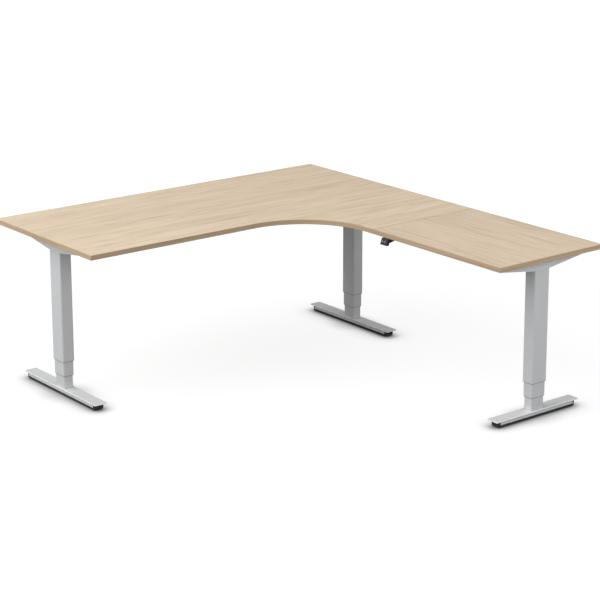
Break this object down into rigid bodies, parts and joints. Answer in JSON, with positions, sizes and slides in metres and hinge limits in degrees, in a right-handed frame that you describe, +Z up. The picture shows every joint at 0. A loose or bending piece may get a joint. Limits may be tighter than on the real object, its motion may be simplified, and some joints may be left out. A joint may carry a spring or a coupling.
{
  "type": "height adjustable corner desk",
  "caption": "L-shaped sit-stand desk: wood-look top with an inward curve at the corner, on telescopic lifting columns with flat T-shaped feet and a small push-button handset.",
  "frame": {"origin": "on the floor, at the middle of the desk's footprint", "axes": "+Z up; +Y from the end of the side wing towards the rear edge of the main wing; +X along the main wing towards the corner"},
  "size_m": [1.8, 2, 0.728],
  "materials": {
    "desktop_laminate": "light oak look laminate, fine straight grain, satin matt",
    "edge_laminate": "oak look edge banding, slightly darker, satin",
    "silver_coat": "silver grey powder coat, fine texture, satin",
    "column_coat": "silver grey powder coat, fine texture, satin",
    "rail_aluminium": "drawn aluminium profile, satin",
    "black_moulding": "black moulded plastic, fine texture",
    "glide_plastic": "dark grey moulded plastic",
    "collar_plastic": "grey low friction plastic",
    "dark_housing": "dark grey moulded plastic, fine texture",
    "plain_steel": "zinc plated steel",
    "nut_brass": "turned brass",
    "handset_shell": "black moulded plastic, fine texture, satin",
    "button_cap": "soft grey-black keypad cap with a light arrow"
  },
  "bodies": {
    "feet": {"foot_plate_left": "silver_coat", "foot_rail_left": "rail_aluminium", "foot_base_left": "black_moulding", "levelling_glide_left_a": "glide_plastic", "levelling_glide_left_b": "glide_plastic", "inner_tube_left": "column_coat", "spindle_nut_left": "nut_brass", "foot_plate_corner": "silver_coat", "foot_rail_corner": "rail_aluminium", "foot_base_corner": "black_moulding", "levelling_glide_corner_a": "glide_plastic", "levelling_glide_corner_b": "glide_plastic", "inner_tube_corner": "column_coat", "spindle_nut_corner": "nut_brass", "foot_plate_right": "silver_coat", "foot_rail_right": "rail_aluminium", "foot_base_right": "black_moulding", "levelling_glide_right_a": "glide_plastic", "levelling_glide_right_b": "glide_plastic", "inner_tube_right": "column_coat", "spindle_nut_right": "nut_brass"},
    "middle_stages": {"middle_tube_left": "column_coat", "lower_slide_collar_left": "collar_plastic", "hollow_spindle_left": "plain_steel", "middle_tube_corner": "column_coat", "lower_slide_collar_corner": "collar_plastic", "hollow_spindle_corner": "plain_steel", "middle_tube_right": "column_coat", "lower_slide_collar_right": "collar_plastic", "hollow_spindle_right": "plain_steel"},
    "desk_top": {"desktop_main": "desktop_laminate", "desktop_extension": "desktop_laminate", "edge_band_main": "edge_laminate", "edge_band_extension": "edge_laminate", "joining_plate_inner": "plain_steel", "joining_plate_outer": "plain_steel", "crossbeam_main": "silver_coat", "crossbeam_extension": "silver_coat", "outer_tube_left": "column_coat", "upper_slide_collar_left": "collar_plastic", "drive_spindle_left": "plain_steel", "drive_unit_left": "dark_housing", "support_bracket_left": "silver_coat", "outer_tube_corner": "column_coat", "upper_slide_collar_corner": "collar_plastic", "drive_spindle_corner": "plain_steel", "drive_unit_corner": "dark_housing", "support_bracket_corner": "silver_coat", "outer_tube_right": "column_coat", "upper_slide_collar_right": "collar_plastic", "drive_spindle_right": "plain_steel", "drive_unit_right": "dark_housing", "support_bracket_right": "silver_coat", "control_box": "dark_housing", "handset_mounting_plate": "plain_steel", "handset_housing": "handset_shell"},
    "up_button": {"handset_up_button": "button_cap"},
    "down_button": {"handset_down_button": "button_cap"}
  },
  "joints": [
    {"name": "middle_lift", "type": "slide", "parent": "feet", "child": "middle_stages", "axis": [0, 0, 1], "range_m": [-0.05, 0.275]},
    {"name": "desk_lift", "type": "slide", "parent": "middle_stages", "child": "desk_top", "axis": [0, 0, 1], "range_m": [-0.05, 0.275]},
    {"name": "up_button_press", "type": "slide", "parent": "desk_top", "child": "up_button", "axis": [0.9397, 0, -0.342], "range_m": [0, 0.0012], "stiffness_N_per_m": 600},
    {"name": "down_button_press", "type": "slide", "parent": "desk_top", "child": "down_button", "axis": [0.9397, 0, -0.342], "range_m": [0, 0.0012], "stiffness_N_per_m": 600}
  ],
  "couplings": [
    {"joint": "middle_lift", "follows": "desk_lift", "ratio": 1}
  ]
}
